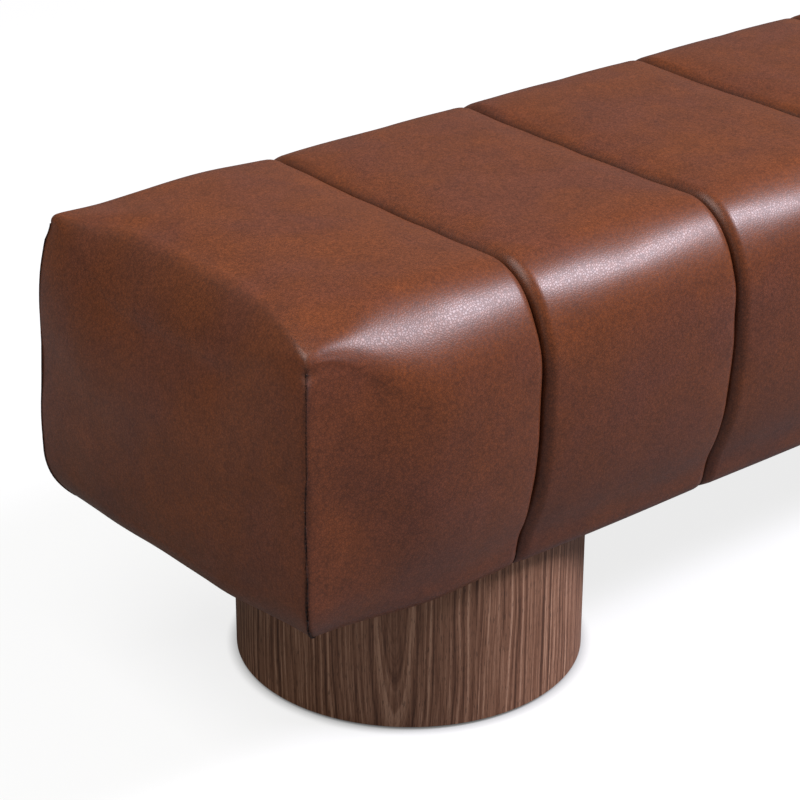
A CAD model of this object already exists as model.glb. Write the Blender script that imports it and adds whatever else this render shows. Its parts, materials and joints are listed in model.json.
import json
import math

import bpy
import numpy as np
from mathutils import Matrix, Vector


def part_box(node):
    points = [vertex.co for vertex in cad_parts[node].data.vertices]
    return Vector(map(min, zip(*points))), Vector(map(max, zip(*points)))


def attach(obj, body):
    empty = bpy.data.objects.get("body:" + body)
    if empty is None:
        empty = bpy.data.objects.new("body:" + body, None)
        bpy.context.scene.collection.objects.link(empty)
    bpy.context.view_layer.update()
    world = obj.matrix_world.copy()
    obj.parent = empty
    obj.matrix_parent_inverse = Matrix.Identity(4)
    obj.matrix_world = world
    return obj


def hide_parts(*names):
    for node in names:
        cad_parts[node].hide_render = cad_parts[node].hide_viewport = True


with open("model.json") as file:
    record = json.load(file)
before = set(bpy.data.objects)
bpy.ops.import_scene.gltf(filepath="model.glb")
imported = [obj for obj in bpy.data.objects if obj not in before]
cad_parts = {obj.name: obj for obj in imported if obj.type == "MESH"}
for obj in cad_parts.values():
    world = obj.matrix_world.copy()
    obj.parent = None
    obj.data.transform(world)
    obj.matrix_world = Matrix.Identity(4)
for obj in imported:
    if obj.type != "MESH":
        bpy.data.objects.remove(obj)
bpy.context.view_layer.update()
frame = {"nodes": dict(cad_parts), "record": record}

# Lengths are in millimetres until a mesh is made
MM = 0.001

# The seat's levels and lengths, from the frame
cover_low, cover_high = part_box("leather_cover_2")
next_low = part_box("leather_cover_3")[0]
UNDER_Z = cover_low[2] / MM
SEAT_Z = cover_high[2] / MM
HALF_D = cover_high[1] / MM
CHANNEL_W = (next_low[0] - cover_low[0]) / MM
CHANNEL_N = sum(name.startswith("leather_cover_") for name in frame["nodes"])
HALF_L = CHANNEL_N * CHANNEL_W / 2

# Channels: crown, groove between two covers, and the shoulder beside it
CROWN_H = 2
GROOVE_D = 12
SHOULDER_W = 12.5
SLIT = 0.5
# The end channels rise a little more, furthest just past their middle
END_CROWN = 3
CROWN_LEAN = 1.3

# Reaches of the rounded edges and tucks, inwards and up or down
TOP_EDGE_D = 70
TOP_EDGE_H = 100
TUCK_D = 30
TUCK_H = 54
FACE_IN = 17
END_EDGE_L = 30
END_EDGE_H = 70
END_TUCK_L = 32
END_TUCK_H = 35
CORNER_TUCK_L = 46
CORNER_TUCK_H = 58
HEM_W = 50
LEATHER_T = 1.2
# The groove fades out over this much of the tuck, in degrees
FADE_ANGLE = 50

# Pinched corners: how far each is drawn in, over what length, and the length over which the end's
# rounding grows from it
CORNER_IN = 29
CORNER_RUN = 130
ROLL_RUN = 120
CORNER_HALF = HALF_D - CORNER_IN
# The rounding left at a corner, inwards and downwards, and how much lower the top lies there
CORNER_R = 6
CORNER_H = 7
CORNER_DROP = 9
# Most that a corner seam stands out, and the middle of an end beyond its seams
CORNER_SWELL = 12
END_SWELL = 6
# No rounding gets smaller than this
LEAST_R = 2
# How the corner seam swells, from the top of the tuck up to the pinch
SWELL_AT = (-0.1, 0, 0.1, 0.4, 0.6, 0.85, 1, 1.15)
SWELL_SHARE = (0.93, 1, 1.07, 0.71, 0.78, 0.45, 0, -0.45)
# Stretch of the face on each side over which the bends of that table are rounded
SWELL_ROUND = 0.1
# The end's face follows its seams' bends from this share of its height up, fully so after the next
# share, and only this close to them
LEVEL_FROM = 0.3
LEVEL_OVER = 0.4
LEVEL_BESIDE = 25

# Kinds of point round a section, and how many steps each has
HEM, TUCK, FACE, EDGE, TOP = range(5)
HEM_N, TUCK_N, FACE_N, EDGE_N, TOP_N = 4, 30, 29, 26, 30
SHOULDER_N = 12
ACROSS_N = 48
RUN_N = 50
ROLL_N = 18
# The rings of an end lie closer together towards its corners by this power
RUN_POWER = 1.2


def mix(a, b, share):
    """A share of the way from a to b."""
    return a + (b - a) * share


def ease(share):
    """A smooth step: 3c^2 - 2c^3, where c is the share held between 0 and 1."""
    c = np.clip(share, 0, 1)
    return c * c * (3 - 2 * c)


def section_ring():
    """Kind, value and side of each point from the front hem over the top to the back hem."""
    kind = np.repeat([HEM, TUCK, FACE, EDGE, TOP], [HEM_N, TUCK_N + 1, FACE_N, EDGE_N + 1, TOP_N])
    value = np.concatenate([
        np.linspace(0, 1, HEM_N, endpoint=False),
        np.linspace(0, 90, TUCK_N + 1),
        np.linspace(0, 1, FACE_N + 2)[1:-1],
        np.linspace(90, 0, EDGE_N + 1),
        np.linspace(0, 1, TOP_N + 1)[1:],
    ])
    side = np.concatenate([-np.ones(len(kind)), np.ones(len(kind) - 1)])
    return np.append(kind, kind[-2::-1]), np.append(value, value[-2::-1]), side


KIND, VALUE, SIDE = section_ring()
ANGLE = np.radians(VALUE)
LOW_N = int(np.sum(KIND[:len(KIND) // 2] < EDGE))


def crown_fall(u):
    """The crown sinks with the square of the way from a channel's middle to its seam, u away."""
    return CROWN_H * (1 - np.minimum(u / (CHANNEL_W / 2), 1)) ** 2


def shoulder():
    """Distances from the seam and depths of a quarter ellipse from the groove up to the crown."""
    a = np.radians(np.linspace(0, 90, SHOULDER_N + 1))
    u = SLIT + SHOULDER_W * (1 - np.cos(a))
    return u, GROOVE_D * (1 - np.sin(a)) + crown_fall(u)


def face_swell(value):
    """The table of swells, with its bends rounded by a mean over a short stretch around each point."""
    shifts = np.linspace(-SWELL_ROUND, SWELL_ROUND, 9)
    return CORNER_SWELL * np.mean([np.interp(value + d, SWELL_AT, SWELL_SHARE) for d in shifts], axis=0)


def corner_swell():
    """Swell of the corner seam: a sine over the tuck, then the table of swells up the face."""
    tuck = CORNER_SWELL * np.sin(ANGLE)
    return np.select([KIND == TUCK, KIND == FACE], [tuck, face_swell(VALUE)], 0)


def corner_line():
    """Where the corner seam lies along the bench: a quarter ellipse over the tuck, then upright."""
    tuck = CORNER_TUCK_L * (1 - np.sin(ANGLE))
    hem = CORNER_TUCK_L + HEM_W * (1 - VALUE)
    return np.select([KIND == HEM, KIND == TUCK], [hem, tuck], 0) - corner_swell()


def roll_share():
    """Share of the full rounding over the end, which grows from the corner to the middle."""
    edge = ease(CORNER_R * (1 - np.sin(ANGLE)) / ROLL_RUN)
    top = ease((CORNER_R + (CORNER_HALF - CORNER_R) * VALUE) / ROLL_RUN)
    return np.select([KIND == EDGE, KIND == TOP], [edge, top], 0)


def skin(x, near, fall, roll_fall):
    """Points of a cover over its whole section: a flat hem, a quarter ellipse up the tuck, pulled in
    by (sin a)^4 cos a so that it runs on smoothly into a face drawn in by (1 - v)^3 up its height v, a
    quarter ellipse over the top edge and a flat top.
    `near` turns a channel's section into a pinched corner's, and `fall` sinks it for the groove
    and the crown."""
    fade = np.select([KIND == HEM, KIND == TUCK], [0, ease(VALUE / FADE_ANGLE)], 1)
    depth = fade * fall
    half = mix(HALF_D, CORNER_HALF + corner_swell(), near)
    drawn = mix(FACE_IN, 0, near)
    low_l = mix(TUCK_D, CORNER_TUCK_L, near)
    low_h = mix(TUCK_H, CORNER_TUCK_H, near)
    high_l = np.maximum(mix(TOP_EDGE_D, CORNER_R, near), depth + LEAST_R)
    high_h = np.maximum(mix(TOP_EDGE_H, CORNER_H, near), depth + LEAST_R)
    face_low = UNDER_Z + low_h
    face_high = SEAT_Z - high_h - roll_fall
    flat = half - drawn - low_l
    hem = mix(HALF_D - FACE_IN - TUCK_D - HEM_W, flat, VALUE)
    pulled = 3 * drawn / (face_high - face_low) * low_h * np.sin(ANGLE) ** 4 * np.cos(ANGLE)
    kinds = [KIND == HEM, KIND == TUCK, KIND == FACE, KIND == EDGE]
    y = np.select(kinds, [
        hem,
        flat + (low_l - depth) * np.sin(ANGLE) - pulled,
        half - depth - drawn * (1 - VALUE) ** 3,
        half - high_l + (high_l - depth) * np.sin(ANGLE),
    ], (half - high_l) * (1 - VALUE))
    z = np.select(kinds, [
        UNDER_Z + 0 * depth,
        face_low - (low_h - depth) * np.cos(ANGLE),
        mix(face_low, face_high, VALUE),
        face_high + (high_h - depth) * np.cos(ANGLE),
    ], face_high + high_h - depth)
    return np.stack(np.broadcast_arrays(x, SIDE * y, z), axis=-1)


def channel_skin():
    """A channel between two seams, with x from its left seam."""
    u, fall = shoulder()
    across = np.linspace(u[-1], CHANNEL_W - u[-1], ACROSS_N + 1)[1:-1]
    x = np.concatenate([u, across, CHANNEL_W - u[::-1]])
    sunk = np.concatenate([fall, crown_fall(np.minimum(across, CHANNEL_W - across)), fall[::-1]])
    return skin(x[:, None], 0, sunk[:, None], 0)


def top_fall(gap, points):
    """The top sinks towards a corner with the smooth step of the distance from it."""
    y, z = points[..., 1], points[..., 2]
    off = np.hypot(np.maximum(gap, 0), np.maximum(CORNER_HALF - np.abs(y), 0))
    return CORNER_DROP * (1 - ease(off / CORNER_RUN)) * ease((z - SEAT_Z + TOP_EDGE_H) / TOP_EDGE_H)


def end_skin():
    """An end from its seam to its corner seams, with x from the seat's end. Its crown rises by a
    squared sine of the distance from the end."""
    u, fall = shoulder()
    line = corner_line()
    share = roll_share()
    reach = mix(CORNER_R, END_EDGE_L, share)
    run = np.linspace(1, 0, RUN_N + 1)[1:, None] ** RUN_POWER
    roll = np.radians(np.linspace(0, 90, ROLL_N + 1))[1:, None]
    x = np.concatenate([
        np.broadcast_to(CHANNEL_W - u[:, None], (len(u), len(KIND))),
        mix(line + reach, CHANNEL_W - u[-1], run),
        line + reach * (1 - np.sin(roll)),
    ])
    lean = np.clip(x / CHANNEL_W, 0, 1) ** CROWN_LEAN
    sunk = crown_fall(CHANNEL_W - x) - END_CROWN * np.sin(np.pi * lean) ** 2
    sunk[:len(u)] = fall[:, None]
    drop = np.zeros_like(x)
    drop[-ROLL_N:] = mix(CORNER_H, END_EDGE_H, share) * (1 - np.cos(roll))
    points = skin(x, 1 - ease((x - line) / CORNER_RUN), sunk, drop)
    points[..., 2] -= top_fall(x - line, points)
    return points


def end_face(last):
    """Inner points of an end's own face: each row runs between the two corner seams, its tuck
    shortens to the middle, and it swells by 1 - s^2 across and by a sine up the face. Beside a seam
    it lies as far out as the seam does at the same height."""
    low = last[:LOW_N, None]
    top = last[None, LOW_N + 1:len(last) - LOW_N - 1]
    share = top[..., 1] / last[LOW_N, 1]
    out = ease((np.abs(share) * CORNER_HALF - CORNER_HALF + CORNER_RUN) / CORNER_RUN)
    tuck_l = mix(END_TUCK_L, CORNER_TUCK_L, out)
    tuck_h = mix(END_TUCK_H, CORNER_TUCK_H, out)
    value = VALUE[:LOW_N, None]
    angle = ANGLE[:LOW_N, None]
    kinds = [KIND[:LOW_N, None] == HEM, KIND[:LOW_N, None] == TUCK]
    z = np.select(kinds, [
        UNDER_Z + 0 * share,
        UNDER_Z + tuck_h * (1 - np.cos(angle)),
    ], mix(UNDER_Z + tuck_h, top[..., 2], value))
    face_rows = KIND[:LOW_N] == FACE
    level = np.interp(z, last[:LOW_N][face_rows, 2], VALUE[:LOW_N][face_rows])
    from_seam = CORNER_HALF * (1 - np.abs(share))
    beside = 1 - ease(from_seam / LEVEL_BESIDE)
    level = mix(value, level, ease((value - LEVEL_FROM) / LEVEL_OVER) * beside)
    x = np.select(kinds, [
        mix(CORNER_TUCK_L + HEM_W, tuck_l, value),
        tuck_l * (1 - np.sin(angle)) - corner_swell()[:LOW_N, None],
    ], -face_swell(level) - END_SWELL * (1 - share ** 2) * np.sin(np.pi * value))
    return np.stack([x, low[..., 1] * share, z], axis=-1)


def grid_faces(numbers, turned=False):
    """Faces of four corners between the neighbours in a grid of point numbers."""
    corners = [numbers[:-1, :-1], numbers[1:, :-1], numbers[1:, 1:], numbers[:-1, 1:]]
    return np.stack(corners[::-1] if turned else corners, axis=-1).reshape(-1, 4)


def join(skin_points, face_points):
    """Points and faces of a cover: its rings, and its end's own face if it has one."""
    rows, size = skin_points.shape[:2]
    numbers = np.arange(rows * size).reshape(rows, size)
    if face_points is None:
        return skin_points.reshape(-1, 3), grid_faces(numbers)
    low = face_points.shape[0]
    face_numbers = np.empty((low + 1, size - 2 * low), int)
    face_numbers[low] = numbers[-1, low:size - low]
    face_numbers[:low, 0] = numbers[-1, :low]
    face_numbers[:low, -1] = numbers[-1, :size - low - 1:-1]
    inner = face_points.shape[:2]
    face_numbers[:low, 1:-1] = rows * size + np.arange(inner[0] * inner[1]).reshape(inner)
    points = np.concatenate([skin_points.reshape(-1, 3), face_points.reshape(-1, 3)])
    return points, np.concatenate([grid_faces(numbers, turned=True), grid_faces(face_numbers)])


def make_mesh(name, points, faces):
    """A piece from points in millimetres and faces of four corners, smooth all over."""
    mesh = bpy.data.meshes.new(name)
    mesh.from_pydata((points * MM).tolist(), [], faces.tolist())
    mesh.shade_smooth()
    piece = bpy.data.objects.new(name, mesh)
    bpy.context.scene.collection.objects.link(piece)
    return piece


def read(mesh, kind="co"):
    """The places or normals of a mesh's vertices."""
    values = np.empty(len(mesh.vertices) * 3)
    mesh.vertices.foreach_get(kind, values)
    return values.reshape(-1, 3)


def ripple(points, wavelength, seed):
    """Sum of twelve sine waves of about one length in fixed directions, mostly within -1 to 1."""
    rng = np.random.default_rng(seed)
    along = rng.normal(size=(12, 3))
    along /= np.linalg.norm(along, axis=1)[:, None]
    along *= 2 * np.pi / wavelength * rng.uniform(0.7, 1.4, (12, 1))
    return np.sin(points @ along.T + rng.uniform(0, 2 * np.pi, 12)).mean(axis=-1) * 2


# Cloth: frames, pressure, spare leather as a share of its length, how far a point may move, and
# the height over which its move grows from the underside
SETTLE_FRAMES = 20
PRESSURE = 2
SPARE = 0.004
SETTLE_CAP = 3
TIGHT_H = 90
# The cloth is held this close to a seam, and this close above the underside
HELD_W = 4
HELD_H = 1
# How often its moves are smoothed on the coarse grid, and then on the fine one
SMOOTH_COARSE = 3
SMOOTH_FINE = 2


def hang_cloth(cover):
    """A coarse copy of a cover as cloth, held along its seams and its hem."""
    coarse_face = None if cover["face"] is None else cover["face"][::2, 1::2]
    points, faces = join(cover["skin"][::2, ::2], coarse_face)
    piece = make_mesh("settling", points, faces)
    held = piece.vertex_groups.new(name="held")
    fixed = (points[:, 0] > CHANNEL_W - HELD_W) | (points[:, 2] < UNDER_Z + HELD_H)
    if cover["face"] is None:
        fixed |= points[:, 0] < HELD_W
    else:
        # The corner seams lie on the skin's last ring
        columns = (len(KIND) + 1) // 2
        first = (cover["skin"].shape[0] - 1) // 2 * columns
        fixed[first:first + LOW_N // 2 + 1] = True
        fixed[first + columns - LOW_N // 2 - 1:first + columns] = True
    held.add(np.flatnonzero(fixed).tolist(), 1.0, "REPLACE")
    cloth = piece.modifiers.new("cloth", "CLOTH")
    cloth.settings.quality = 6
    cloth.settings.mass = 0.6
    cloth.settings.tension_stiffness = 40
    cloth.settings.compression_stiffness = 40
    cloth.settings.shear_stiffness = 20
    cloth.settings.bending_stiffness = 3
    cloth.settings.air_damping = 4
    cloth.settings.use_pressure = True
    cloth.settings.uniform_pressure_force = PRESSURE
    cloth.settings.shrink_min = -SPARE
    cloth.settings.vertex_group_mass = "held"
    cloth.settings.effector_weights.gravity = 0
    cloth.point_cache.frame_start = 1
    cloth.point_cache.frame_end = SETTLE_FRAMES
    return piece


def between(moves, places, axis):
    """What each inner point's two neighbours give for it, in line with its distance from each."""
    places = np.moveaxis(places, axis, 0)
    moves = np.moveaxis(moves, axis, 0)
    steps = np.linalg.norm(np.diff(places, axis=0), axis=-1)[..., None] + 1e-6
    share = steps[:-1] / (steps[:-1] + steps[1:])
    return np.moveaxis(mix(moves[:-2], moves[2:], share), 0, axis)


def soften(moves, places, times):
    """Takes each inner point halfway to what its neighbours give, one way and then the other."""
    for _ in range(times):
        moves = moves.copy()
        moves[1:-1] += (between(moves, places, 0) - moves[1:-1]) / 2
        moves[:, 1:-1] += (between(moves, places, 1) - moves[:, 1:-1]) / 2
    return moves


def finer(coarse, places):
    """Moves of a coarse grid for one with twice the points, each new one in line between two."""
    half_way = np.zeros((places.shape[0], coarse.shape[1], 3))
    half_way[::2] = coarse
    half_way[1::2] = between(half_way, places[:, ::2], 0)[::2]
    fine = np.zeros(places.shape)
    fine[:, ::2] = half_way
    fine[:, 1::2] = between(fine, places, 1)[:, ::2]
    return soften(fine, places, SMOOTH_FINE)


def settle_face(cover, moved, on_skin):
    """Adds its cloth's moves to an end's own face, whose rim takes those of the skin's last ring."""
    inner = cover["face"].shape
    low = inner[0] // 2
    last = cover["skin"][-1]
    whole = np.empty((low + 1, (inner[1] + 1) // 2 + 1, 3))
    whole[low] = on_skin[-1, low:on_skin.shape[1] - low]
    whole[:low, 0] = on_skin[-1, :low]
    whole[:low, -1] = on_skin[-1, :on_skin.shape[1] - low - 1:-1]
    whole[:low, 1:-1] = moved.reshape(low, -1, 3)
    places = np.empty((inner[0] + 1, inner[1] + 2, 3))
    places[-1] = last[LOW_N:-LOW_N]
    places[:-1, 0] = last[:LOW_N]
    places[:-1, -1] = last[:-LOW_N - 1:-1]
    places[:-1, 1:-1] = cover["face"]
    whole = soften(whole, places[::2, ::2], SMOOTH_COARSE)
    cover["face"] = cover["face"] + finer(whole, places)[:-1, 1:-1]


def settle(covers):
    """Runs the cloth of all covers together, and moves each cover's points by what its cloth moved:
    d / sqrt(1 + (|d| / cap)^2), so that no point moves further than the cap. The leather is pulled
    tight over the tuck, so the move fades out there."""
    scene = bpy.context.scene
    pieces = [hang_cloth(cover) for cover in covers]
    for frame_number in range(1, SETTLE_FRAMES + 1):
        scene.frame_set(frame_number)
    depsgraph = bpy.context.evaluated_depsgraph_get()
    for cover, piece in zip(covers, pieces):
        hung = read(piece.data) / MM
        moved = read(piece.evaluated_get(depsgraph).data) / MM - hung
        moved /= np.sqrt(1 + (np.linalg.norm(moved, axis=1) / SETTLE_CAP) ** 2)[:, None]
        moved *= ease((hung[:, 2:] - UNDER_Z) / TIGHT_H)
        places = cover["skin"][::2, ::2]
        count = places.shape[0] * places.shape[1]
        on_skin = moved[:count].reshape(places.shape)
        if cover["face"] is not None:
            settle_face(cover, moved[count:], on_skin)
        on_skin = soften(on_skin, places, SMOOTH_COARSE)
        cover["skin"] = cover["skin"] + finer(on_skin, cover["skin"])
        bpy.data.objects.remove(piece)
    scene.frame_set(1)


# Folds at a pinched corner: a valley and a lobe on each side of it, with their depth or height,
# width and length, and the distance from the corner over which they grow. Each lobe leans this
# much further to its side.
VALLEY_H = 1.4
VALLEY_W = 14
VALLEY_L = 30
VALLEY_FROM = 10
LOBE_H = 1
LOBE_W = 30
LOBE_L = 35
LOBE_FROM = 14
LOBE_LEAN = 2.2
# They grow over the last stretch below the top
FOLD_DOWN = 45
FOLD_OVER = 30
# How much lower the front corners are pulled, and how fast that dies away
FRONT_PULL = 15
FRONT_RUN = 20
# The hollow where the corner seam ends
NOTCH_D = 1.2
NOTCH_W = 8
SEAM_TOP_Z = SEAT_Z - 2 * CORNER_H - CORNER_DROP


def pinch(points):
    """Moves near a pinched corner, with u and v the distances from it along and across the bench:
    down a valley along u = v, up a lobe on each side of it, down to the front corners, which are
    pulled lower, and inwards round the seam's top by a bell of the distance from it."""
    left = points[:, 0] < 0
    u = np.where(left, points[:, 0] + HALF_L, HALF_L - points[:, 0])
    v = CORNER_HALF - np.abs(points[:, 1])
    away = np.hypot(u, v)
    valley = VALLEY_H * np.exp(-((u - v) / VALLEY_W) ** 2 - away / VALLEY_L) * ease(away / VALLEY_FROM)
    sides = [np.exp(-((a - LOBE_LEAN * b) / LOBE_W) ** 2) for a, b in ((u, v), (v, u))]
    lobes = LOBE_H * sum(sides) * np.exp(-away / LOBE_L) * ease(away / LOBE_FROM)
    pulled = FRONT_PULL * np.exp(-away / FRONT_RUN) * (points[:, 1] < 0)
    up = ease((points[:, 2] - SEAT_Z + FOLD_DOWN) / FOLD_OVER) * (lobes - valley - pulled)
    inwards = NOTCH_D * np.exp(-(away ** 2 + (points[:, 2] - SEAM_TOP_Z) ** 2) / NOTCH_W ** 2)
    return np.column_stack([np.where(left, inwards, -inwards), -np.sign(points[:, 1]) * inwards, up])


# The sag under a back corner: its depth, its reach across and along the bench, the heights above
# the underside between which it fades out, and the height over which it grows
SAG_H = 14
SAG_ACROSS = 95
SAG_ALONG = 60
SAG_TOP = 90
SAG_FADE = 60
SAG_GROW = 15


def sag(points):
    """How far the tucks near the two back corners hang down: a bell along the end and one along the
    bench, times smooth steps that fade it out up the face and at the hem."""
    beside = np.maximum(CORNER_HALF - points[:, 1], 0)
    from_end = HALF_L - np.abs(points[:, 0])
    level = points[:, 2] - UNDER_Z
    low = ease((SAG_TOP - level) / SAG_FADE) * ease(level / SAG_GROW)
    return SAG_H * low * np.exp(-(beside / SAG_ACROSS) ** 2 - (from_end / SAG_ALONG) ** 2)


# Low waves all over the leather, as height and length, then the puckers beside a seam and the
# folds beside a corner seam, as height, length and reach
WAVES = ((0.35, 150), (0.15, 55))
PUCKER = (0.6, 42, 16)
CORNER_FOLD = (0.25, 26, 14)
CORNER_FOLD_FROM = 6
# A corner seam's crease, as depth and reach: a narrow bell, and a wider slope that dies away
CREASE = (0.3, 2.2)
CREASE_SLOPE = (0.3, 4)
# The underside stays flat, and the waves grow over this height
FLAT_H = 12
# Reach of the dark line in a groove and along a corner seam
SEAM_DARK = 1.7
CORNER_DARK = 2.1
# That line runs on by this many of a ring's points, and widens this much and this far at its top
SEAM_MORE = 6
NOTCH_DARK = 0.6
NOTCH_REACH = 5


def dress(piece, seam_gap, corner_gap, seed):
    """Moves the surface along its normals: low waves all over, short puckers that die away from the
    seam, folds at the pinched corners and a crease along a corner seam."""
    mesh = piece.data
    points = read(mesh) / MM
    normals = read(mesh, "normal")
    offset = sum(h * ripple(points, length, seed + i) for i, (h, length) in enumerate(WAVES))
    height, length, reach = PUCKER
    offset += height * ripple(points, length, seed + 2) * np.exp(-seam_gap / reach)
    height, length, reach = CORNER_FOLD
    folds = height * ripple(points, length, seed + 3) * np.exp(-corner_gap / reach)
    offset += folds * (1 - np.exp(-corner_gap / CORNER_FOLD_FROM))
    offset -= CREASE[0] * np.exp(-(corner_gap / CREASE[1]) ** 2)
    offset -= CREASE_SLOPE[0] * np.exp(-corner_gap / CREASE_SLOPE[1])
    offset *= ease((points[:, 2] - UNDER_Z) / FLAT_H)
    points = points + normals * offset[:, None]
    points += pinch(points)
    points[:, 2] -= sag(points)
    mesh.vertices.foreach_set("co", (points * MM).ravel())
    for name, gap, reach in (("seam_shade", seam_gap, SEAM_DARK), ("corner_shade", corner_gap, CORNER_DARK)):
        shade = mesh.attributes.new(name, "FLOAT", "POINT")
        shade.data.foreach_set("value", np.exp(-gap / reach))
    mesh.update()


# The wadding starts this far inside the leather's face and this far above the underside, and is
# laid towards a core this far inside the seat
WADDING_IN = 2.4
WADDING_FROM = 8
WADDING_T = 17
CORE_IN = 80


def wadding_layer(name, points, faces):
    """A closed layer under the leather. Its two skins lie at p + d (c - p) / |c - p|, where c is the
    nearest point of the seat's core and d the layer's depth, so they can't cross."""
    faces = faces[np.all(points[faces][..., 2] > UNDER_Z + WADDING_FROM, axis=1)]
    used, faces = np.unique(faces, return_inverse=True)
    faces = faces.reshape(-1, 4)
    points = points[used]
    low = np.array([CORE_IN - HALF_L, CORE_IN - HALF_D, UNDER_Z + CORE_IN])
    high = np.array([HALF_L - CORE_IN, HALF_D - CORE_IN, SEAT_Z - CORE_IN])
    inwards = np.clip(points, low, high) - points
    inwards /= np.linalg.norm(inwards, axis=1)[:, None]
    count = len(points)
    edges = np.concatenate([faces[:, [i, (i + 1) % 4]] for i in range(4)])
    same = np.sort(edges, axis=1)
    _, first, uses = np.unique(same[:, 0] * count + same[:, 1], return_index=True, return_counts=True)
    rim = edges[first[uses == 1]]
    rim_faces = np.column_stack([rim[:, 1], rim[:, 0], rim[:, 0] + count, rim[:, 1] + count])
    both = np.concatenate([points + inwards * WADDING_IN, points + inwards * (WADDING_IN + WADDING_T)])
    return make_mesh(name, both, np.concatenate([faces, faces[:, ::-1] + count, rim_faces]))


def finish_soft(piece, node, material):
    """A soft piece stands for the plain one of the frame."""
    piece.data.materials.append(material)
    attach(piece, "root")
    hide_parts(node)


def channel(number):
    """A channel's cover before it settles, with its place on the bench."""
    shift = (-HALF_L + (number - 1) * CHANNEL_W, 0, 0)
    return {"number": number, "skin": channel_skin(), "face": None, "turn": 1, "shift": shift}


def end(number):
    """An end's cover before it settles. The right end is the left one turned round."""
    grid = end_skin()
    face = end_face(grid[-1])
    turn = 1 if number == 1 else -1
    return {"number": number, "skin": grid, "face": face, "turn": turn, "shift": (-HALF_L, 0, 0)}


def from_corner_seams(points, last):
    """Each point's distance from the nearest point of an end's two corner seams, made smaller near
    their tops by a bell of the distance from them."""
    gap = np.full(len(points), np.inf)
    for seam_point in np.concatenate([last[:LOW_N + 1 + SEAM_MORE], last[-LOW_N - 1 - SEAM_MORE:]]):
        gap = np.minimum(gap, np.linalg.norm(points - seam_point, axis=1))
    for seam_top in (last[LOW_N - 1 + SEAM_MORE], last[-LOW_N - SEAM_MORE]):
        from_top = np.linalg.norm(points - seam_top, axis=1)
        gap *= 1 - NOTCH_DARK * np.exp(-(from_top / NOTCH_REACH) ** 2)
    return gap


def stitch_cover(cover):
    """The leather of one channel, and the wadding that follows it from the inside."""
    number = cover["number"]
    points, faces = join(cover["skin"], cover["face"])
    seam_gap = CHANNEL_W - points[:, 0]
    if cover["face"] is None:
        seam_gap = np.minimum(seam_gap, points[:, 0])
        corner_gap = np.full(len(points), HALF_L)
    else:
        corner_gap = from_corner_seams(points, cover["skin"][-1])
    turn = (cover["turn"], cover["turn"], 1)
    piece = make_mesh(f"stitched_cover_{number}", (points + cover["shift"]) * turn, faces)
    dress(piece, seam_gap, corner_gap, 10 * number)
    pad = wadding_layer(f"wadding_layer_{number}", read(piece.data) / MM, faces)
    wall = piece.modifiers.new("leather thickness", "SOLIDIFY")
    wall.thickness = LEATHER_T * MM
    wall.offset = -1
    finish_soft(piece, f"leather_cover_{number}", LEATHER)
    finish_soft(pad, f"wadding_{number}", WADDING)


def colour(code):
    """An sRGB hex code as linear red, green, blue and alpha."""
    parts = np.array([int(code[i:i + 2], 16) for i in (1, 3, 5)]) / 255
    linear = np.where(parts <= 0.04045, parts / 12.92, ((parts + 0.055) / 1.055) ** 2.4)
    return (*linear.tolist(), 1)


def add(tree, kind, inputs=None, stops=(), **settings):
    """Adds a node with its settings and a colour ramp's (place, colour code) stops, and links or
    sets its inputs."""
    made = tree.nodes.new(kind)
    for name, value in settings.items():
        setattr(made, name, value)
    while stops and len(made.color_ramp.elements) < len(stops):
        made.color_ramp.elements.new(1)
    for number, (place, code) in enumerate(stops):
        made.color_ramp.elements[number].position = place
        made.color_ramp.elements[number].color = colour(code)
    for name, value in (inputs or {}).items():
        if isinstance(value, bpy.types.NodeSocket):
            tree.links.new(value, made.inputs[name])
        else:
            made.inputs[name].default_value = value
    return made


def start_material(name):
    """An empty material, its tree and its output node."""
    made = bpy.data.materials.new(name)
    made.use_nodes = True
    made.node_tree.nodes.clear()
    return made, made.node_tree, add(made.node_tree, "ShaderNodeOutputMaterial")


# The leather's patterns: size in metres, detail, roughness and distortion
DRIFT = (0.085, 4, 0.55, 0.3)
CLOUDS = (0.028, 7, 0.7, 0.4)
FLECKS = (0.0035, 3, 0.7, 0)
WRINKLES = (0.006, 6, 0.75, 0.8)
# Pebble size, the size of the noise that bends the creases between them, how far it does, and the
# distance between the stitches of a corner seam
PEBBLE = 0.0026
BEND = 0.004
BEND_BY = (0.0022, 0.0022, 0.0022)
STITCH = 0.0045


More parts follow.
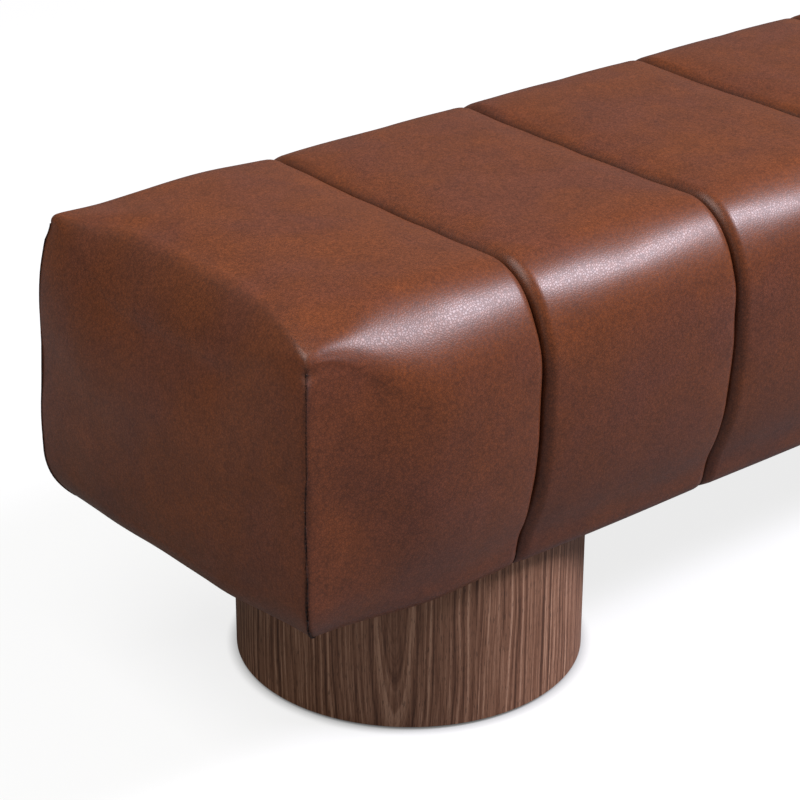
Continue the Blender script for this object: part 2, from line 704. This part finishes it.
def leather():
    """Pull-up cowhide, drum-dyed, waxed and pebbled: the eye gets a red-brown that drifts from brown
    to rust over a hand's width, fine dark creases between pebbles about 3 mm across, a soft satin
    highlight that the pebbles break up, and dull, nearly black seams."""
    made, tree, out = start_material("pebbled waxed cowhide")
    place = add(tree, "ShaderNodeTexCoord").outputs["Object"]
    drift, clouds, flecks, wrinkles = (
        add(tree, "ShaderNodeTexNoise", {
            "Vector": place, "Scale": 1 / size, "Detail": detail, "Roughness": rough, "Distortion": bent,
        }).outputs["Fac"]
        for size, detail, rough, bent in (DRIFT, CLOUDS, FLECKS, WRINKLES)
    )
    bend = add(tree, "ShaderNodeTexNoise", {"Vector": place, "Scale": 1 / BEND, "Detail": 2}).outputs["Color"]
    bend = add(tree, "ShaderNodeVectorMath", {0: bend, 1: BEND_BY}, operation="MULTIPLY").outputs[0]
    bent_place = add(tree, "ShaderNodeVectorMath", {0: place, 1: bend}, operation="ADD").outputs[0]
    creases = add(tree, "ShaderNodeTexVoronoi", {
        "Vector": bent_place, "Scale": 1 / PEBBLE, "Randomness": 1,
    }, feature="DISTANCE_TO_EDGE").outputs["Distance"]
    pebble = add(tree, "ShaderNodeMapRange", {
        "Value": creases, "From Min": 0.0, "From Max": 0.28,
    }, interpolation_type="SMOOTHSTEP").outputs["Result"]

    dyed = add(tree, "ShaderNodeValToRGB", {"Fac": drift}, stops=(
        (0.36, "#7c432b"), (0.5, "#804426"), (0.64, "#854623"),
    )).outputs["Color"]
    for share, pattern, *stops in (
        (0.3, clouds, (0.34, "#a9a9aa"), (0.66, "#ffffff")),
        (0.45, flecks, (0.36, "#909090"), (0.62, "#ffffff")),
        (0.38, pebble, (0.0, "#8a8482"), (0.7, "#ffffff")),
    ):
        darker = add(tree, "ShaderNodeValToRGB", {"Fac": pattern}, stops=stops).outputs["Color"]
        dyed = add(tree, "ShaderNodeMix", {
            "Factor": share, "A": dyed, "B": darker,
        }, data_type="RGBA", blend_type="MULTIPLY").outputs["Result"]

    seam = add(tree, "ShaderNodeAttribute", attribute_name="seam_shade").outputs["Fac"]
    corner = add(tree, "ShaderNodeAttribute", attribute_name="corner_shade").outputs["Fac"]
    dark = add(tree, "ShaderNodeSeparateXYZ", {0: place}).outputs["Z"]
    for operation, *values in (
        ("MULTIPLY", 2 * math.pi / STITCH), ("SINE",), ("MULTIPLY_ADD", 0.12, 0.88), ("MULTIPLY", corner),
        ("MAXIMUM", seam),
    ):
        dark = add(tree, "ShaderNodeMath", {
            0: dark, **dict(enumerate(values, 1)),
        }, operation=operation).outputs[0]
    shaded = add(tree, "ShaderNodeMix", {
        "Factor": dark, "A": dyed, "B": colour("#140906"),
    }, data_type="RGBA").outputs["Result"]

    grain = add(tree, "ShaderNodeMix", {"Factor": 0.4, "A": pebble, "B": wrinkles}).outputs["Result"]
    bump = add(tree, "ShaderNodeBump", {
        "Strength": 0.14, "Distance": 0.0004, "Height": grain,
    }).outputs["Normal"]
    wax = add(tree, "ShaderNodeMix", {"Factor": 0.5, "A": clouds, "B": pebble}).outputs["Result"]
    rough = add(tree, "ShaderNodeMapRange", {
        "Value": wax, "From Min": 0.3, "From Max": 0.8, "To Min": 0.42, "To Max": 0.33,
    }).outputs["Result"]
    dull = add(tree, "ShaderNodeMath", {0: corner, 1: 0.35}, operation="POWER").outputs[0]
    rough = add(tree, "ShaderNodeMath", {0: rough, 1: dull}, operation="MAXIMUM").outputs[0]
    surface = add(tree, "ShaderNodeBsdfPrincipled", {
        "Base Color": shaded, "Roughness": rough, "Normal": bump, "IOR": 1.5, "Specular IOR Level": 0.38,
    })
    tree.links.new(surface.outputs[0], out.inputs["Surface"])
    return made


def plain(name, base, dark, grain, rough, bump_depth=0.0002, stretch=(1, 1, 1), metal=0.0):
    """A mottled material in two close colours, with its grain's size in metres."""
    made, tree, out = start_material(name)
    place = add(tree, "ShaderNodeTexCoord").outputs["Object"]
    place = add(tree, "ShaderNodeMapping", {"Vector": place, "Scale": stretch}).outputs["Vector"]
    speckle = add(tree, "ShaderNodeTexNoise", {
        "Vector": place, "Scale": 1 / grain, "Detail": 5, "Roughness": 0.65,
    }).outputs["Fac"]
    bump = add(tree, "ShaderNodeBump", {
        "Strength": 0.5, "Distance": bump_depth, "Height": speckle,
    }).outputs["Normal"]
    mottled = add(tree, "ShaderNodeValToRGB", {"Fac": speckle}, stops=((0.35, dark), (0.65, base)))
    surface = add(tree, "ShaderNodeBsdfPrincipled", {
        "Base Color": mottled.outputs["Color"], "Roughness": rough, "Metallic": metal, "Normal": bump,
    })
    tree.links.new(surface.outputs[0], out.inputs["Surface"])
    return made


# Walnut: distance between rings, how much they sway and over what length, how the figure's point
# narrows with height and where it closes, and the widths of streaks and pores
RING = 0.0046
SWAY = 0.014
SWAY_L = 0.06
POINT_SLOPE = -0.085
POINT_DEPTH = 0.021
STREAK = 0.0028
PORE = 0.0009
# Arc from the front of a drum to the middle of its veneer leaf, its palest ring's distance from
# that middle, and that ring's width
LEAF_MIDDLE = 0.131
PALE_RING = 0.0203
PALE_RING_W = 0.0013


def walnut(name, drum):
    """Flat-cut walnut veneer, oiled: the eye gets brown rings about 5 mm apart, which close in a
    narrow V that points down in the middle of each leaf and run straight beside it, one paler
    ring, fine streaks and short dark pores under a low sheen."""
    low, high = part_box(drum)
    radius = (high[0] - low[0]) / 2
    leaf = math.pi * radius
    made, tree, out = start_material(name)
    place = add(tree, "ShaderNodeTexCoord").outputs["Object"]
    centred = add(tree, "ShaderNodeMapping", {
        "Vector": place, "Location": [-(low[0] + high[0]) / 2, -(low[1] + high[1]) / 2, 0],
    }).outputs["Vector"]
    split = add(tree, "ShaderNodeSeparateXYZ", {0: centred})
    height = split.outputs["Z"]
    front = add(tree, "ShaderNodeMath", {0: split.outputs["Y"], 1: -1.0}, operation="MULTIPLY").outputs[0]
    across = split.outputs["X"]
    for operation, *values in (
        ("ARCTAN2", front), ("MULTIPLY", radius), ("ADD", LEAF_MIDDLE), ("WRAP", leaf / 2, -leaf / 2),
    ):
        across = add(tree, "ShaderNodeMath", {
            0: across, **dict(enumerate(values, 1)),
        }, operation=operation).outputs[0]
    flat = add(tree, "ShaderNodeCombineXYZ", {"X": across, "Y": height, "Z": 0.0}).outputs[0]

    # Each noise is drawn out along the grain: its stretch, size, detail and roughness
    sway, streaks, pores = (
        add(tree, "ShaderNodeTexNoise", {
            "Vector": add(tree, "ShaderNodeMapping", {"Vector": flat, "Scale": (1, stretch, 1)}).outputs[0],
            "Scale": 1 / size, "Detail": detail, "Roughness": rough,
        }).outputs["Fac"]
        for stretch, size, detail, rough in (
            (0.35, SWAY_L, 1, 0.5), (0.02, STREAK, 4, 0.7), (0.08, PORE, 2, 0.5),
        )
    )
    sway = add(tree, "ShaderNodeMath", {0: sway, 1: 0.5}, operation="SUBTRACT").outputs[0]
    swayed = add(tree, "ShaderNodeMath", {0: sway, 1: SWAY, 2: across}, operation="MULTIPLY_ADD").outputs[0]
    depth = add(tree, "ShaderNodeMath", {
        0: height, 1: POINT_SLOPE, 2: POINT_DEPTH,
    }, operation="MULTIPLY_ADD").outputs[0]
    from_pith = add(tree, "ShaderNodeCombineXYZ", {"X": swayed, "Y": depth, "Z": 0.0}).outputs[0]
    from_pith = add(tree, "ShaderNodeVectorMath", {0: from_pith}, operation="LENGTH").outputs["Value"]
    rings = add(tree, "ShaderNodeTexNoise", {
        "W": from_pith, "Scale": 1 / RING, "Detail": 4, "Roughness": 0.6,
    }, noise_dimensions="1D").outputs["Fac"]
    pale_ring = from_pith
    for operation, *values in (
        ("SUBTRACT", PALE_RING), ("DIVIDE", PALE_RING_W), ("POWER", 2), ("MULTIPLY", -1), ("EXPONENT",),
    ):
        pale_ring = add(tree, "ShaderNodeMath", {
            0: pale_ring, **dict(enumerate(values, 1)),
        }, operation=operation).outputs[0]

    figure = add(tree, "ShaderNodeMix", {"Factor": 0.5, "A": rings, "B": streaks}).outputs["Result"]
    figure = add(tree, "ShaderNodeMath", {
        0: pale_ring, 1: 0.07, 2: figure,
    }, operation="MULTIPLY_ADD").outputs[0]
    tone = add(tree, "ShaderNodeValToRGB", {"Fac": figure}, stops=(
        (0.38, "#5b3c2c"), (0.46, "#7e5640"), (0.54, "#9a7057"), (0.62, "#bc9176"),
    )).outputs["Color"]
    dash = pores
    for operation, value in (("LESS_THAN", 0.4), ("MULTIPLY", 0.45)):
        dash = add(tree, "ShaderNodeMath", {0: dash, 1: value}, operation=operation).outputs[0]
    dashed = add(tree, "ShaderNodeMix", {
        "Factor": dash, "A": tone, "B": colour("#33231b"),
    }, data_type="RGBA").outputs["Result"]
    bump = add(tree, "ShaderNodeBump", {
        "Strength": 0.3, "Distance": 0.0002, "Height": pores,
    }).outputs["Normal"]
    surface = add(tree, "ShaderNodeBsdfPrincipled", {
        "Base Color": dashed, "Roughness": 0.55, "Normal": bump, "Specular IOR Level": 0.3,
    })
    tree.links.new(surface.outputs[0], out.inputs["Surface"])
    return made


LEATHER = leather()
# Bonded polyester wadding: soft, loose and off-white
WADDING = plain("bonded polyester wadding", "#f1f0ea", "#deddd6", 0.004, 0.95, 0.0012)
COVERS = [end(n) if n in (1, CHANNEL_N) else channel(n) for n in range(1, CHANNEL_N + 1)]
settle(COVERS)
for one_cover in COVERS:
    stitch_cover(one_cover)

# Sanded birch plywood: pale, warm and matt, with long soft streaks
plywood = plain("birch plywood", "#d9bf94", "#c4a36f", 0.012, 0.6, stretch=(0.2, 1, 1))
# Planed pine: yellower, with longer streaks
softwood = plain("planed pine", "#dcc08c", "#c79f62", 0.01, 0.6, stretch=(0.15, 1, 1))
# Cut foam: pale yellow, dull and finely pitted
foam = plain("cut polyurethane foam", "#e7dba0", "#d6c681", 0.0016, 0.95, 0.0006)
# Woven jute: straw-coloured and dry, flecked at the width of its threads
webbing = plain("woven jute tie", "#cdbb93", "#a8946a", 0.0015, 0.9, 0.0004)
# Spunbonded cloth: black, flat and faintly speckled
dust_cloth = plain("spunbonded dust cloth", "#2c2c2e", "#1d1d1f", 0.0012, 0.9, 0.0003)
# Pressed felt: dark grey and fuzzy, without any shine
felt = plain("pressed wool felt", "#45454a", "#2e2e32", 0.0012, 0.97, 0.0006)
# Zinc plating: bluish grey metal with a dull, even shine
zinc = plain("zinc-plated steel", "#c3c7cb", "#a8adb2", 0.003, 0.35, 0.0001, metal=1.0)
left_walnut = walnut("walnut veneer, left drum", "left_drum_veneer")
right_walnut = walnut("walnut veneer, right drum", "right_drum_veneer")

BY_SLOT = {
    "leather": LEATHER, "wadding": WADDING, "foam": foam, "webbing": webbing,
    "dust_cloth": dust_cloth, "felt": felt, "plywood": plywood, "softwood": softwood,
    "zinc_steel": zinc, "walnut_veneer": left_walnut,
}
for part in frame["record"]["subparts"]:
    target = frame["nodes"][part["node"]]
    finish = BY_SLOT[part["material_slot"]]
    if part["node"] == "right_drum_veneer":
        finish = right_walnut
    target.data.materials.clear()
    target.data.materials.append(finish)

# Camera of the photograph: place in millimetres and angles in degrees
CAMERA_PLACE = (-1806.6, -1627.0, 1274.8)
CAMERA_YAW = 39.61
CAMERA_PITCH = 25.67
CAMERA_ROLL = -0.2
CAMERA_LENS = 112.86

# In metres: where the lamps point, half the floor's side, and the width of the darker line round
# a drum's foot
LAMP_AIM = Vector((-0.3, 0, 0.35))
FLOOR_HALF = 12
CONTACT_W = 0.012
# Light that the floor adds where the camera sees it
FLOOR_GLOW = 0.81


def set_camera():
    """Looks along yaw from +Y towards +X and pitch downwards, turned by the roll."""
    yaw, pitch, roll = (math.radians(a) for a in (CAMERA_YAW, CAMERA_PITCH, CAMERA_ROLL))
    ahead = Vector((math.sin(yaw) * math.cos(pitch), math.cos(yaw) * math.cos(pitch), -math.sin(pitch)))
    right = Vector((math.cos(yaw), -math.sin(yaw), 0))
    down = ahead.cross(right)
    turned_right = math.cos(roll) * right + math.sin(roll) * down
    turned_down = -math.sin(roll) * right + math.cos(roll) * down
    axes = Matrix((turned_right, -turned_down, -ahead)).transposed().to_4x4()
    camera = bpy.data.objects.new("camera", bpy.data.cameras.new("camera"))
    camera.data.lens = CAMERA_LENS
    camera.data.clip_end = 100
    camera.matrix_world = Matrix.Translation(Vector(CAMERA_PLACE) * MM) @ axes
    bpy.context.scene.collection.objects.link(camera)
    bpy.context.scene.camera = camera


def soft_light(name, place, size, power, tint="#ffffff"):
    """A rectangular lamp that faces the seat, with its place and size in metres and its power in
    watts."""
    lamp = bpy.data.objects.new(name, bpy.data.lights.new(name, "AREA"))
    lamp.data.shape = "RECTANGLE"
    lamp.data.size, lamp.data.size_y = size
    lamp.data.energy = power
    lamp.data.color = colour(tint)[:3]
    lamp.location = place
    lamp.rotation_euler = (LAMP_AIM - Vector(place)).to_track_quat("-Z", "Y").to_euler()
    bpy.context.scene.collection.objects.link(lamp)


def pale_floor():
    """A pale floor that is white to the camera and keeps the bench's shadow."""
    corners = [(x * FLOOR_HALF, y * FLOOR_HALF, 0) for x, y in ((-1, -1), (1, -1), (1, 1), (-1, 1))]
    mesh = bpy.data.meshes.new("floor")
    mesh.from_pydata(corners, [], [(0, 1, 2, 3)])
    floor = bpy.data.objects.new("floor", mesh)
    bpy.context.scene.collection.objects.link(floor)
    made, tree, out = start_material("matt white paint")
    seen = add(tree, "ShaderNodeLightPath").outputs["Is Camera Ray"]
    paint = add(tree, "ShaderNodeBsdfDiffuse", {"Color": colour("#8a8a89")})
    shade = add(tree, "ShaderNodeBsdfDiffuse", {"Color": colour("#8f8e8c")})
    open_floor = add(tree, "ShaderNodeAmbientOcclusion", {"Distance": CONTACT_W}).outputs["AO"]
    strength = add(tree, "ShaderNodeMath", {0: open_floor, 1: FLOOR_GLOW}, operation="MULTIPLY").outputs[0]
    glow = add(tree, "ShaderNodeEmission", {"Color": colour("#ffffff"), "Strength": strength})
    lifted = add(tree, "ShaderNodeAddShader", {0: paint.outputs[0], 1: glow.outputs[0]})
    mixed = add(tree, "ShaderNodeMixShader", {0: seen, 1: shade.outputs[0], 2: lifted.outputs[0]})
    tree.links.new(mixed.outputs[0], out.inputs["Surface"])
    mesh.materials.append(made)


def pale_world():
    """Even light from all round, dim on the bench and white to the camera."""
    world = bpy.data.worlds.new("studio")
    bpy.context.scene.world = world
    world.use_nodes = True
    tree = world.node_tree
    tree.nodes.clear()
    path = add(tree, "ShaderNodeLightPath")
    seen = add(tree, "ShaderNodeMath", {
        0: path.outputs["Is Camera Ray"], 1: path.outputs["Is Transmission Ray"],
    }, operation="MAXIMUM").outputs[0]
    dim = add(tree, "ShaderNodeBackground", {"Color": colour("#ffffff"), "Strength": 0.2})
    white = add(tree, "ShaderNodeBackground", {"Color": colour("#ffffff"), "Strength": 1.0})
    mixed = add(tree, "ShaderNodeMixShader", {0: seen, 1: dim.outputs[0], 2: white.outputs[0]})
    out = add(tree, "ShaderNodeOutputWorld")
    tree.links.new(mixed.outputs[0], out.inputs["Surface"])


set_camera()
pale_world()
pale_floor()
soft_light("key softbox", (2.55, -2.3, 3.6), (1.6, 0.95), 305, "#f0eeff")
soft_light("overhead softbox", (-1.5, 0, 2.4), (1.6, 1.6), 32)
soft_light("left fill", (-2.6, -1.2, 0.9), (1.6, 1.6), 3)
bpy.context.scene.view_settings.view_transform = "Standard"
